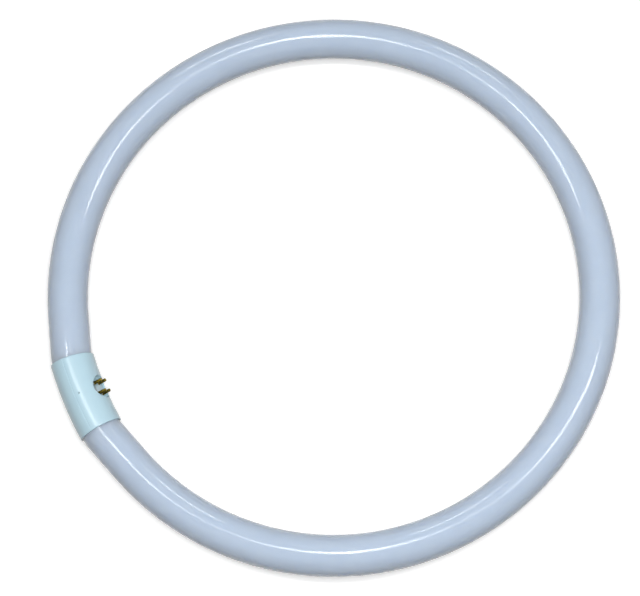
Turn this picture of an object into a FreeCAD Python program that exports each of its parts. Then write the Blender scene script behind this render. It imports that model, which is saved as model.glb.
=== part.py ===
"""Circular fluorescent tube with a two-part cap and four contact pins.

The ring lies flat with its centre at the origin and its axis along +Z.
The cap that joins the two tube ends is on the -X side, and the lamp is
the same on both sides of the XZ plane. All sizes are in millimetres and
degrees.
"""

import FreeCAD
import Part
import math
import os

from FreeCAD import Placement, Rotation, Vector

# Ring of glass
RING_OUTER_DIAMETER = 406.0
TUBE_DIAMETER = 28.6
# Each end leaves the ring's circle this far from the middle of the cap and runs straight
STRAIGHT_START_ANGLE = 18.0
# The ends bend once more at the cap's rims, and from there they follow the axis of the cap
END_BEND_RADIUS = 28.0
END_BEND_INSET = 0.5

# Sealed ends of the glass, inside the cap
END_GAP = 24.0
SEAL_RIM_WIDTH = 6.0
STEM_DEPTH = 8.0
STEM_TAPER = 2.0
EXHAUST_TIP_DIAMETER = 3.6
EXHAUST_TIP_LENGTH = 6.0

# Cap, from rim to rim
CAP_LENGTH = 54.0
CAP_BEND_ANGLE = 12.0
CAP_WALL = 0.9
CAP_CLEARANCE = 0.3
CAP_RIM_ROUND = 0.35

# Ribs in the cap that bear on the glass
GRIP_RIB_WIDTH = 1.6
GRIP_RIB_INSET = 8.0
GRIP_RIB_SEAM_GAP = 3.0
GRIP_CLEARANCE = 0.05

# Lap joint along the seam between the two halves
LAP_HEIGHT = 1.2
LAP_THICKNESS = 0.4
LAP_CLEARANCE = 0.05

# Snap tabs of the cover half, with pips that show in holes of the pin half
SNAP_HEIGHT = 3.6
SNAP_PIP_DIAMETER = 1.3
SNAP_PIP_RECESS = 0.25
SNAP_TAB_WIDTH = 9.0
SNAP_TAB_THICKNESS = 1.0
SNAP_TAB_MARGIN = 1.8
SNAP_TAB_ROOT = 5.0
SNAP_CLEARANCE = 0.1

# Pocket that the pins stand in
PIN_TILT = 20.0
POCKET_DIAMETER = 17.2
POCKET_DEPTH = 3.7
POCKET_WALL = 1.2
POCKET_FLOOR = 2.0

# Contact pins, two along the tube by two across it, each on a shank through the pocket's floor
PIN_SPACING_ALONG = 7.92
PIN_SPACING_ACROSS = 6.35
PIN_DIAMETER = 2.35
PIN_SHANK_DIAMETER = 2.0
PIN_HEIGHT = 6.3
PIN_TIP_ROUND = 0.8
PIN_TIP_THICKNESS = 1.2
PIN_COLLAR_WIDTH = 0.75
PIN_COLLAR_THICKNESS = 0.8
PIN_BEAD_WIDTH = 0.3
PIN_BEAD_HEIGHT = 0.4
PIN_TAIL_LENGTH = 1.5
PIN_HOLE_CLEARANCE = 0.05

# Wires from the seals to the pins, and their sleeves
WIRE_DIAMETER = 0.8
WIRE_CLEARANCE = 0.03
WIRE_BEND_RADIUS = 4.0
WIRE_SEAL_DEPTH = 3.0
SLEEVE_WALL = 0.35
SLEEVE_MARGIN = 0.6

# Radii that follow from the sizes above
TUBE_RADIUS = TUBE_DIAMETER / 2
RING_RADIUS = RING_OUTER_DIAMETER / 2 - TUBE_RADIUS
BORE_RADIUS = TUBE_RADIUS + CAP_CLEARANCE
CAP_RADIUS = BORE_RADIUS + CAP_WALL
LAP_RADIUS = BORE_RADIUS + LAP_THICKNESS
TAB_RADIUS = BORE_RADIUS - SNAP_CLEARANCE
TAB_INNER_RADIUS = TAB_RADIUS - SNAP_TAB_THICKNESS
POCKET_RADIUS = POCKET_DIAMETER / 2
PIN_RADIUS = PIN_DIAMETER / 2
PIN_SHANK_RADIUS = PIN_SHANK_DIAMETER / 2
PIN_HOLE_RADIUS = PIN_SHANK_RADIUS + PIN_HOLE_CLEARANCE
WIRE_RADIUS = WIRE_DIAMETER / 2
WIRE_BORE_RADIUS = WIRE_RADIUS + WIRE_CLEARANCE

# The axis of the cap is an arc from rim to rim, set so that each end of the tube runs into it:
# straight off the ring's circle, then round the end bend, with no corner between them
START_ANGLE = math.radians(STRAIGHT_START_ANGLE)
HALF_BEND = math.radians(CAP_BEND_ANGLE / 2)
CAP_ARC_RADIUS = CAP_LENGTH / 2 / math.sin(HALF_BEND)
INSET_ANGLE = HALF_BEND - END_BEND_INSET / CAP_ARC_RADIUS
STEM_ANGLE = math.asin((END_GAP / 2 + STEM_DEPTH) / CAP_ARC_RADIUS)
BEND_CENTRE_REACH = CAP_ARC_RADIUS - END_BEND_RADIUS
START_GAP = RING_RADIUS - END_BEND_RADIUS - BEND_CENTRE_REACH * math.cos(START_ANGLE - INSET_ANGLE)
CAP_ARC_CENTRE = Vector(-START_GAP / math.cos(START_ANGLE), 0, 0)
CAP_MIDDLE = CAP_ARC_CENTRE - Vector(CAP_ARC_RADIUS, 0, 0)

# Directions at the middle of the cap
UP = Vector(0, 0, 1)
ALONG = Vector(0, 1, 0)
PIN_AXIS = Vector(math.cos(math.radians(PIN_TILT)), 0, math.sin(math.radians(PIN_TILT)))
ACROSS = PIN_AXIS.cross(ALONG)

# Heights along the pins, from the axis of the cap
POCKET_FLOOR_TOP = CAP_RADIUS - POCKET_DEPTH
POCKET_FLOOR_BASE = POCKET_FLOOR_TOP - POCKET_FLOOR
PIN_TIP = POCKET_FLOOR_TOP + PIN_HEIGHT
PIN_COLLAR_BASE = POCKET_FLOOR_BASE - PIN_COLLAR_THICKNESS
PIN_TAIL = PIN_COLLAR_BASE - PIN_TAIL_LENGTH
PIN_BORE_TOP = PIN_TIP - PIN_TIP_THICKNESS
SNAP_TAB_TOP = SNAP_HEIGHT + SNAP_TAB_MARGIN

# A length that passes every face of the cap
PAST_CAP = 2 * CAP_LENGTH


def outline_point(radius, height):
    """Point of a turned outline, at a radius from the axis and a height along it."""
    return Vector(radius, 0, height)


def outline(points):
    """Straight edges through a row of (radius, height) pairs."""
    corners = [outline_point(radius, height) for radius, height in points]
    return [Part.LineSegment(a, b).toShape() for a, b in zip(corners, corners[1:])]


def round_edge(start, middle, end):
    """Arc of a turned outline through three (radius, height) pairs."""
    return Part.Arc(outline_point(*start), outline_point(*middle), outline_point(*end)).toShape()


def turned(edges, origin, axis):
    """Solid turned from a closed outline about an axis through the origin given."""
    solid = Part.Face(Part.Wire(edges)).revolve(Vector(0, 0, 0), UP, 360)
    solid.Placement = Placement(origin, Rotation(UP, axis))
    return solid


def round_face(centre, normal, radius):
    """Flat round face."""
    return Part.Face(Part.Wire(Part.makeCircle(radius, centre, normal)))


def straight_rod(start, end, radius):
    """Round rod between two points."""
    run = end - start
    return Part.makeCylinder(radius, run.Length, start, run)


def fused(first, others):
    """One solid from pieces that touch."""
    return first.fuse(others).removeSplitter()


def bent_rod(start, corner, end, bend_radius, radius):
    """Round rod along two straight runs that a tangent arc joins at the corner."""
    first = (corner - start).normalize()
    second = (end - corner).normalize()
    turn = first.getAngle(second)
    reach = bend_radius * math.tan(turn / 2)
    enter = corner - first * reach
    leave = corner + second * reach
    normal = first.cross(second).normalize()
    centre = enter + normal.cross(first) * bend_radius
    bend = round_face(enter, first, radius).revolve(centre, normal, math.degrees(turn))
    return fused(straight_rod(start, enter, radius), [bend, straight_rod(leave, end, radius)])


def single(shape):
    """The one solid that a cut or a fuse leaves."""
    assert len(shape.Solids) == 1, "expected one solid, found %d" % len(shape.Solids)
    return shape.Solids[0]


def outward(angle):
    """Direction from a centre on the X axis towards the cap, turned by an angle towards +Y."""
    return Vector(-math.cos(angle), math.sin(angle), 0)


def inward_run(side, angle):
    """Direction along the tube towards the middle of the cap, at an angle to one side of it."""
    return Vector(-math.sin(angle), -side * math.cos(angle), 0)


def stem_floor(side):
    """Centre of the floor of the stem's recess in a glass end."""
    return CAP_ARC_CENTRE + outward(side * STEM_ANGLE) * CAP_ARC_RADIUS


def end_direction(side):
    """Direction in which a glass end faces, towards the other end."""
    return inward_run(side, STEM_ANGLE)


def pin_foot(side, row):
    """Point of a pin's axis beside the middle of the cap's axis."""
    offset = ALONG * (side * PIN_SPACING_ALONG / 2) + ACROSS * (row * PIN_SPACING_ACROSS / 2)
    return CAP_MIDDLE + offset


def wire_points(side, row):
    """Start of a wire in its seal, its corner and its end in the pin's bore."""
    foot = pin_foot(side, row)
    lead = ACROSS * (row * PIN_SPACING_ACROSS / 2)
    start = stem_floor(side) + lead - end_direction(side) * WIRE_SEAL_DEPTH
    run = (abs(stem_floor(side).y) - PIN_SPACING_ALONG / 2) / math.cos(STEM_ANGLE)
    corner_height = (stem_floor(side) + end_direction(side) * run - CAP_MIDDLE).dot(PIN_AXIS)
    return start, foot + PIN_AXIS * corner_height, foot + PIN_AXIS * (PIN_BORE_TOP - WIRE_CLEARANCE)


def make_lead_wire(side, row):
    """Wire sealed in the stem at one end and held in a pin's bore at the other."""
    start, corner, end = wire_points(side, row)
    return bent_rod(start, corner, end, WIRE_BEND_RADIUS, WIRE_RADIUS)


def make_wire_sleeve(side, row):
    """Insulating sleeve over the free length of a wire."""
    start, corner, _ = wire_points(side, row)
    first = start + (corner - start).normalize() * (WIRE_SEAL_DEPTH + SLEEVE_MARGIN)
    last = pin_foot(side, row) + PIN_AXIS * (PIN_TAIL - SLEEVE_MARGIN)
    sleeve = bent_rod(first, corner, last, WIRE_BEND_RADIUS, WIRE_BORE_RADIUS + SLEEVE_WALL)
    return single(sleeve.cut(bent_rod(first, corner, last, WIRE_BEND_RADIUS, WIRE_BORE_RADIUS)))


def make_seal_rim(side):
    """Rounded rim of a glass end, round the tapered recess of its stem."""
    round_radius = SEAL_RIM_WIDTH / 2
    shoulder = STEM_DEPTH - round_radius
    mouth = TUBE_RADIUS - SEAL_RIM_WIDTH
    edges = outline([(mouth, shoulder), (mouth - STEM_TAPER, 0), (TUBE_RADIUS, 0), (TUBE_RADIUS, shoulder)])
    crown = (TUBE_RADIUS - round_radius, STEM_DEPTH)
    edges.append(round_edge((TUBE_RADIUS, shoulder), crown, (mouth, shoulder)))
    return turned(edges, stem_floor(side), end_direction(side))


def make_exhaust_tip(side):
    """Sealed-off exhaust tube that stands in the stem's recess."""
    radius = EXHAUST_TIP_DIAMETER / 2
    shoulder = EXHAUST_TIP_LENGTH - radius
    edges = outline([(0, EXHAUST_TIP_LENGTH), (0, 0), (radius, 0), (radius, shoulder)])
    middle = (radius * math.sin(math.pi / 4), shoulder + radius * math.cos(math.pi / 4))
    edges.append(round_edge((radius, shoulder), middle, (0, EXHAUST_TIP_LENGTH)))
    return turned(edges, stem_floor(side), end_direction(side))


def tube_arc(centre, radius, start, end, side):
    """Bent length of tube round a centre, between two angles from the middle of the cap."""
    section = round_face(centre + outward(side * start) * radius, inward_run(side, start), TUBE_RADIUS)
    return section.revolve(centre, UP, math.degrees(side * (start - end)))


def make_tube_end(side):
    """Straight run, end bend, run along the cap's axis and sealed end of the glass."""
    leave = outward(side * START_ANGLE) * RING_RADIUS
    bend_centre = CAP_ARC_CENTRE + outward(side * INSET_ANGLE) * BEND_CENTRE_REACH
    enter = bend_centre + outward(side * START_ANGLE) * END_BEND_RADIUS
    straight = straight_rod(leave, enter, TUBE_RADIUS)
    bend = tube_arc(bend_centre, END_BEND_RADIUS, START_ANGLE, INSET_ANGLE, side)
    inside = tube_arc(CAP_ARC_CENTRE, CAP_ARC_RADIUS, INSET_ANGLE, STEM_ANGLE, side)
    return [straight, bend, inside, make_seal_rim(side), make_exhaust_tip(side)]


def make_glass_tube(wires):
    """Sealed ring of glass, whose two ends stop short of each other inside the cap."""
    ring = tube_arc(Vector(0, 0, 0), RING_RADIUS, START_ANGLE, 2 * math.pi - START_ANGLE, 1)
    return single(fused(ring, make_tube_end(1) + make_tube_end(-1)).cut(wires))


def cap_point(across, height):
    """Point of the cap's section at its middle, across the pins and along them."""
    return CAP_MIDDLE + ACROSS * across + PIN_AXIS * height


def cap_polar(radius, angle):
    """The (across, height) pair at a radius, at an angle measured from across the pins to along them."""
    return radius * math.cos(angle), radius * math.sin(angle)


def cap_edges(points, side=1):
    """Straight edges of the cap's section through (across, height) pairs, on the +1 or -1 side."""
    corners = [cap_point(side * across, height) for across, height in points]
    return [Part.LineSegment(a, b).toShape() for a, b in zip(corners, corners[1:])]


def cap_arc(radius, start, end, side=1):
    """Arc of the cap's section between two angles, on the +1 or -1 side."""
    pairs = [cap_polar(radius, angle) for angle in (start, (start + end) / 2, end)]
    return Part.Arc(*[cap_point(side * across, height) for across, height in pairs]).toShape()


def cap_swept(edges, start, end):
    """Solid of a closed section carried along the cap's axis between two angles from its middle."""
    face = Part.Face(Part.Wire(edges))
    face.rotate(CAP_ARC_CENTRE, UP, math.degrees(start))
    return face.revolve(CAP_ARC_CENTRE, UP, math.degrees(end - start))


def make_half_shell(edges):
    """Wall of one half of the cap, with its outer rims rounded."""
    wall = cap_swept(edges, -HALF_BEND, HALF_BEND)
    rims = [edge for edge in wall.Edges if is_rim(edge)]
    return wall.makeFillet(CAP_RIM_ROUND, rims)


def is_rim(edge):
    """True for an edge round the outside of the cap at one of its rims."""
    return isinstance(edge.Curve, Part.Circle) and math.isclose(edge.Curve.Radius, CAP_RADIUS)


def make_grip_ribs(half):
    """Ribs inside one half of the cap, +1 for the pin half and -1 for the cover half."""
    foot = half * math.asin(GRIP_RIB_SEAM_GAP / BORE_RADIUS)
    over = half * math.pi - foot
    outer = BORE_RADIUS + CAP_WALL / 2
    inner = TUBE_RADIUS + GRIP_CLEARANCE
    foot_edge = [cap_polar(inner, foot), cap_polar(outer, foot)]
    over_edge = [cap_polar(outer, over), cap_polar(inner, over)]
    section = cap_edges(foot_edge) + [cap_arc(outer, foot, over)]
    section += cap_edges(over_edge) + [cap_arc(inner, over, foot)]
    low = HALF_BEND - (GRIP_RIB_INSET + GRIP_RIB_WIDTH) / CAP_ARC_RADIUS
    high = HALF_BEND - GRIP_RIB_INSET / CAP_ARC_RADIUS
    return [cap_swept(section, low, high), cap_swept(section, -high, -low)]


def snap_reach(radius):
    """Distance across the cap to a radius, at the height of the snap pips."""
    return math.sqrt(radius ** 2 - SNAP_HEIGHT ** 2)


def snap_rod(side, inner, outer, radius):
    """Rod across the cap at the height of the snap pips, between two distances from its axis."""
    return straight_rod(cap_point(side * inner, SNAP_HEIGHT), cap_point(side * outer, SNAP_HEIGHT), radius)


def make_pocket_boss():
    """Thick round floor and wall of the pin pocket, filled up to the outside of the cap."""
    full_round = [cap_arc(CAP_RADIUS, 0, math.pi), cap_arc(CAP_RADIUS, math.pi, 2 * math.pi)]
    outside = cap_swept(full_round, -HALF_BEND, HALF_BEND)
    foot = cap_point(0, POCKET_FLOOR_BASE)
    return straight_rod(foot, cap_point(0, PAST_CAP), POCKET_RADIUS + POCKET_WALL).common(outside)


def make_cap_pin_half():
    """Half of the cap that carries the pins in a round pocket."""
    groove_top = LAP_HEIGHT + LAP_CLEARANCE
    groove = LAP_RADIUS + LAP_CLEARANCE
    bore_start = math.asin(groove_top / BORE_RADIUS)
    seam = [cap_polar(BORE_RADIUS, bore_start), (groove, groove_top), (groove, 0), (CAP_RADIUS, 0)]
    section = cap_edges(seam) + [cap_arc(CAP_RADIUS, 0, math.pi)]
    section += cap_edges(seam[::-1], side=-1) + [cap_arc(BORE_RADIUS, math.pi - bore_start, bore_start)]
    half = fused(make_half_shell(section), make_grip_ribs(1) + [make_pocket_boss()])
    cuts = [straight_rod(cap_point(0, POCKET_FLOOR_TOP), cap_point(0, PAST_CAP), POCKET_RADIUS)]
    for side in (1, -1):
        for row in (1, -1):
            foot = pin_foot(side, row)
            cuts.append(straight_rod(foot, foot + PIN_AXIS * PAST_CAP, PIN_HOLE_RADIUS))
        hole_radius = SNAP_PIP_DIAMETER / 2 + SNAP_CLEARANCE
        cuts.append(snap_rod(side, snap_reach(TAB_INNER_RADIUS), CAP_RADIUS, hole_radius))
    return single(half.cut(cuts))


def make_snap_tab(side):
    """Tab of the cover half that reaches up inside the pin half, with its pip."""
    foot = -math.asin(SNAP_TAB_ROOT / BORE_RADIUS)
    lap = math.asin(LAP_HEIGHT / TAB_RADIUS)
    top = math.asin(SNAP_TAB_TOP / TAB_RADIUS)
    step = [(LAP_RADIUS, 0), (LAP_RADIUS, LAP_HEIGHT), cap_polar(TAB_RADIUS, lap)]
    top_edge = [cap_polar(TAB_RADIUS, top), cap_polar(TAB_INNER_RADIUS, top)]
    foot_edge = [cap_polar(TAB_INNER_RADIUS, foot), cap_polar(LAP_RADIUS, foot)]
    section = [cap_arc(LAP_RADIUS, foot, 0, side)]
    section += cap_edges(step, side) + [cap_arc(TAB_RADIUS, lap, top, side)]
    section += cap_edges(top_edge, side) + [cap_arc(TAB_INNER_RADIUS, top, foot, side)]
    section += cap_edges(foot_edge, side)
    half_width = SNAP_TAB_WIDTH / 2 / CAP_ARC_RADIUS
    inner = snap_reach((TAB_RADIUS + TAB_INNER_RADIUS) / 2)
    outer = snap_reach(CAP_RADIUS) - SNAP_PIP_RECESS
    pip = snap_rod(side, inner, outer, SNAP_PIP_DIAMETER / 2)
    return fused(cap_swept(section, -half_width, half_width), [pip])


def make_cap_cover_half():
    """Plain half of the cap, with the tongue of the lap joint and the two snap tabs."""
    tongue = [(BORE_RADIUS, 0), (BORE_RADIUS, LAP_HEIGHT), (LAP_RADIUS, LAP_HEIGHT), (LAP_RADIUS, 0)]
    seam = tongue + [(CAP_RADIUS, 0)]
    section = cap_edges(seam) + [cap_arc(CAP_RADIUS, 0, -math.pi)]
    section += cap_edges(seam[::-1], side=-1) + [cap_arc(BORE_RADIUS, -math.pi, 0)]
    pieces = make_grip_ribs(-1) + [make_snap_tab(side) for side in (1, -1)]
    return single(fused(make_half_shell(section), pieces))


def make_contact_pin(side, row):
    """Hollow pin with a thinner shank through the pocket's floor, a collar under it and a bead on top."""
    shoulder = PIN_TIP - PIN_TIP_ROUND
    crown = PIN_RADIUS - PIN_TIP_ROUND
    edges = outline([
        (crown, PIN_TIP),
        (0, PIN_TIP),
        (0, PIN_BORE_TOP),
        (WIRE_BORE_RADIUS, PIN_BORE_TOP),
        (WIRE_BORE_RADIUS, PIN_TAIL),
        (PIN_SHANK_RADIUS, PIN_TAIL),
        (PIN_SHANK_RADIUS, PIN_COLLAR_BASE),
        (PIN_SHANK_RADIUS + PIN_COLLAR_WIDTH, PIN_COLLAR_BASE),
        (PIN_SHANK_RADIUS + PIN_COLLAR_WIDTH, POCKET_FLOOR_BASE),
        (PIN_SHANK_RADIUS, POCKET_FLOOR_BASE),
        (PIN_SHANK_RADIUS, POCKET_FLOOR_TOP),
        (PIN_RADIUS + PIN_BEAD_WIDTH, POCKET_FLOOR_TOP),
        (PIN_RADIUS, POCKET_FLOOR_TOP + PIN_BEAD_HEIGHT),
        (PIN_RADIUS, shoulder),
    ])
    bulge = PIN_TIP_ROUND * math.sin(math.pi / 4)
    edges.append(round_edge((PIN_RADIUS, shoulder), (crown + bulge, shoulder + bulge), (crown, PIN_TIP)))
    return turned(edges, pin_foot(side, row), PIN_AXIS)


def make_lamp():
    """Every piece of the lamp under its own name."""
    places = [(side, row) for side in (1, -1) for row in (1, -1)]
    wires = [make_lead_wire(side, row) for side, row in places]
    lamp = {
        "glass_tube": make_glass_tube(wires),
        "cap_pin_half": make_cap_pin_half(),
        "cap_cover_half": make_cap_cover_half(),
    }
    for number, (side, row) in enumerate(places, start=1):
        lamp["contact_pin_%d" % number] = make_contact_pin(side, row)
        lamp["lead_wire_%d" % number] = wires[number - 1]
        lamp["wire_sleeve_%d" % number] = make_wire_sleeve(side, row)
    return lamp


def main():
    """Write one file for each piece."""
    os.makedirs("parts", exist_ok=True)
    for name, shape in make_lamp().items():
        shape.exportStep("parts/%s.step" % name)


main()
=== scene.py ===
"""Circular fluorescent tube: a ring of coated glass, its two-part cap, four contact pins and their wires.

The ring lies flat with its centre at the origin, its axis along +Z and its cap on the -X side, as in the
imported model. Sizes and places here are in millimetres and radians, and each mesh is written in metres.
"""

import logging
import math
from dataclasses import dataclass
from enum import Enum

import bmesh
import bpy
import numpy as np
from mathutils import Matrix, Vector


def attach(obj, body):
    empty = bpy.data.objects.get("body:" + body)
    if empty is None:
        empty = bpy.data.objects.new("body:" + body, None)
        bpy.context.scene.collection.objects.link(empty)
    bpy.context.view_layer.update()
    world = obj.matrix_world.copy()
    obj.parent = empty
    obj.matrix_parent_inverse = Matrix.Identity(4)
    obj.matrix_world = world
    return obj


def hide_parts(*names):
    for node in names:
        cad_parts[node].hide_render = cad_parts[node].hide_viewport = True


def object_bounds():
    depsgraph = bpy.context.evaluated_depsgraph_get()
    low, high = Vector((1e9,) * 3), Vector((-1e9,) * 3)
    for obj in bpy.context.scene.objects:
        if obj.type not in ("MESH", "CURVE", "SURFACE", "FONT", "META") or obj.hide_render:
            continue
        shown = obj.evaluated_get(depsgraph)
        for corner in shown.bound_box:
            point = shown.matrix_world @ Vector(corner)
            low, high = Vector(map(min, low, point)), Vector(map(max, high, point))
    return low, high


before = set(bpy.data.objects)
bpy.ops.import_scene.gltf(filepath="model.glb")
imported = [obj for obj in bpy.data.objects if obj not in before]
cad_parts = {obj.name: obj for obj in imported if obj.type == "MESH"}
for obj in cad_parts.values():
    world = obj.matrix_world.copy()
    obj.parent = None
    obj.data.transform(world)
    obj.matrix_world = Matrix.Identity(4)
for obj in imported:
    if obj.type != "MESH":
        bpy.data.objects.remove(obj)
CAD_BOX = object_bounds()

LOG = logging.getLogger("ring_lamp")
METRE = 0.001
QUARTER = math.pi / 2
FULL_TURN = 2 * math.pi
UP = np.array([0.0, 0.0, 1.0])
ALONG = np.array([0.0, 1.0, 0.0])
BODY = "root"
# Mesh attribute that marks where shade is painted on the cap: under the pocket's lip and in the pip recesses.
PAINTED_SHADE = "painted_shade"


class Slot(Enum):
    """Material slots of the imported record."""

    GLASS = "coated_glass"
    CAP = "cap_plastic"
    PIN = "pin_brass"
    WIRE = "lead_metal"
    SLEEVE = "sleeve_braid"


class Joining(Enum):
    """What a second closed shape does to a piece."""

    ADD = "UNION"
    CUT = "DIFFERENCE"


def steps(start: float, end: float, count: int) -> np.ndarray:
    """Evenly spaced values from start to end, both included."""
    return np.linspace(start, end, count)


def unit(vector: np.ndarray) -> np.ndarray:
    """The same direction with length one."""
    return vector / np.linalg.norm(vector)


def outward(angle: np.ndarray) -> np.ndarray:
    """Unit vectors in the ring's plane from its axis towards the cap, turned by an angle towards +Y."""
    angle = np.asarray(angle, float)
    return np.stack([-np.cos(angle), np.sin(angle), np.zeros_like(angle)], axis=-1)


def onward(angle: np.ndarray) -> np.ndarray:
    """Unit vectors along the tube towards the middle of the cap, at an angle on the +Y side."""
    angle = np.asarray(angle, float)
    return np.stack([-np.sin(angle), -np.cos(angle), np.zeros_like(angle)], axis=-1)


@dataclass
class Surface:
    """Grid of points, rows by columns, whose neighbours make four-sided faces.

    Attributes:
        points: Places in millimetres, shaped (rows, columns, 3).
        closed_rows: True where the last row joins the first.
        closed_columns: True where the last column joins the first.
    """

    points: np.ndarray
    closed_rows: bool = False
    closed_columns: bool = True

    def faces(self) -> np.ndarray:
        """Corner numbers of each face: a point, the next in its row and the two in the row after."""
        rows, columns = self.points.shape[:2]
        number = np.arange(rows * columns).reshape(rows, columns)
        if self.closed_rows:
            number = np.vstack([number, number[:1]])
        if self.closed_columns:
            number = np.hstack([number, number[:, :1]])
        corners = [number[:-1, :-1], number[:-1, 1:], number[1:, 1:], number[1:, :-1]]
        return np.stack(corners, axis=-1).reshape(-1, 4)


def make_piece(name: str, surfaces: list[Surface]) -> bpy.types.Object:
    """Make one object of closed surfaces, with poles and seams merged and faces turned outwards.

    Args:
        name: Name of the object and its mesh.
        surfaces: Closed surfaces that the object holds.

    Returns:
        The object, at the origin, with its place in its mesh.
    """
    merge_distance = 1e-7
    starts = np.cumsum([0] + [surface.points[..., 0].size for surface in surfaces])
    points = np.concatenate([surface.points.reshape(-1, 3) for surface in surfaces])
    faces = np.concatenate([surface.faces() + start for surface, start in zip(surfaces, starts)])
    mesh = bpy.data.meshes.new(name)
    mesh.from_pydata((points * METRE).tolist(), [], faces.tolist())
    shape = bmesh.new()
    shape.from_mesh(mesh)
    bmesh.ops.remove_doubles(shape, verts=shape.verts, dist=merge_distance)
    bmesh.ops.recalc_face_normals(shape, faces=shape.faces)
    shape.to_mesh(mesh)
    shape.free()
    piece = bpy.data.objects.new(name, mesh)
    bpy.context.scene.collection.objects.link(piece)
    return piece


def combine(piece: bpy.types.Object, surfaces: list[Surface], joining: Joining) -> None:
    """Add closed shapes to a piece, or cut them out of it.

    Args:
        piece: Object whose mesh is changed.
        surfaces: Closed surfaces that don't touch each other.
        joining: Whether the shapes are added or cut out.
    """
    tool = make_piece(piece.name + "_tool", surfaces)
    modifier = piece.modifiers.new(joining.name, "BOOLEAN")
    modifier.operation = joining.value
    modifier.solver = "EXACT"
    modifier.object = tool
    graph = bpy.context.evaluated_depsgraph_get()
    mesh = bpy.data.meshes.new_from_object(piece.evaluated_get(graph))
    piece.modifiers.clear()
    plain, piece.data = piece.data, mesh
    bpy.data.meshes.remove(plain)
    bpy.data.meshes.remove(tool.data)


def smooth(piece: bpy.types.Object, sharp: float) -> None:
    """Shade a piece smooth, apart from edges that turn more than the sharp angle."""
    piece.data.shade_smooth()
    piece.data.set_sharp_from_angle(angle=sharp)


def install(piece: bpy.types.Object, node: str, material: bpy.types.Material) -> None:
    """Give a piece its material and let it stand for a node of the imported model.

    Args:
        piece: Finished object.
        node: Name of the node that it stands for.
        material: Finish of the whole piece.
    """
    piece.data.materials.clear()
    piece.data.materials.append(material)
    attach(piece, BODY)
    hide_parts(node)
    LOG.info("%s stands for %s with %d faces", piece.name, node, len(piece.data.polygons))


def linear(colour: str) -> tuple[float, float, float, float]:
    """Linear red, green, blue and alpha of an sRGB hex colour."""
    values = [int(colour[place:place + 2], 16) / 255 for place in (1, 3, 5)]
    parts = [value / 12.92 if value <= 0.04045 else ((value + 0.055) / 1.055) ** 2.4 for value in values]
    return parts[0], parts[1], parts[2], 1.0


def per_metre(size: float) -> float:
    """Texture scale that gives a pattern of a size in millimetres."""
    return 1 / (size * METRE)


def add_node(tree: bpy.types.NodeTree, kind: str, inputs: dict, **settings) -> bpy.types.Node:
    """Add a node with its settings, its values and its links.

    Args:
        tree: Node tree that takes the node.
        kind: Blender's name for the kind of node.
        inputs: For each input, by name or number, a value or the output socket to link.
        settings: Properties of the node itself.

    Returns:
        The new node.
    """
    made = tree.nodes.new(kind)
    for name, value in settings.items():
        setattr(made, name, value)
    for socket, value in inputs.items():
        if isinstance(value, bpy.types.NodeSocket):
            tree.links.new(value, made.inputs[socket])
        else:
            made.inputs[socket].default_value = value
    return made


def new_material(name: str) -> tuple[bpy.types.Material, bpy.types.NodeTree, bpy.types.NodeSocket]:
    """Start a material.

    Args:
        name: Name of the material.

    Returns:
        The material, its empty node tree and the Object coordinates of its surface.
    """
    material = bpy.data.materials.new(name)
    material.use_nodes = True
    tree = material.node_tree
    tree.nodes.clear()
    place = add_node(tree, "ShaderNodeTexCoord", {})
    return material, tree, place.outputs["Object"]


def end_material(tree: bpy.types.NodeTree, shader: bpy.types.Node) -> None:
    """Link a shader to the output of its material."""
    add_node(tree, "ShaderNodeOutputMaterial", {"Surface": shader.outputs[0]})


@dataclass(frozen=True)
class CoatedGlass:
    """Drawn soda-lime glass tube, bent hot into a ring, with a white powder coating baked on its inside.

    The eye sees the matt coating, milky and a little cloudy, under a clear hard surface with thin sharp
    reflections. Light goes through the coating into the hollow tube, so that the sides stay pale.
    """

    coating: str = "#C2D1E5"
    thin_coating: str = "#B8C8DC"
    cloud_size: float = 26.0
    ripple_size: float = 17.0
    ripple_height: float = 0.003
    roughness: float = 0.09
    glass_ior: float = 1.52
    light_spread: float = 20.0

    def material(self) -> bpy.types.Material:
        """Build the coated glass."""
        material, tree, place = new_material("glass_with_powder_coating")
        cloud = add_node(tree, "ShaderNodeTexNoise", {
            "Vector": place, "Scale": per_metre(self.cloud_size), "Detail": 5.0, "Roughness": 0.6})
        tone = add_node(tree, "ShaderNodeMix", {
            0: cloud.outputs["Fac"], 6: linear(self.thin_coating), 7: linear(self.coating)}, data_type="RGBA")
        ripple = add_node(tree, "ShaderNodeTexNoise", {
            "Vector": place, "Scale": per_metre(self.ripple_size), "Detail": 1.0})
        bump = add_node(tree, "ShaderNodeBump", {
            "Height": ripple.outputs["Fac"], "Distance": self.ripple_height * METRE, "Strength": 1.0})
        shader = add_node(tree, "ShaderNodeBsdfPrincipled", {
            "Base Color": tone.outputs[2], "Roughness": self.roughness, "IOR": self.glass_ior,
            "Subsurface Weight": 1.0, "Subsurface Radius": (1.0, 1.0, 1.0),
            "Subsurface Scale": self.light_spread * METRE, "Normal": bump.outputs["Normal"]})
        end_material(tree, shader)
        return material


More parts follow.
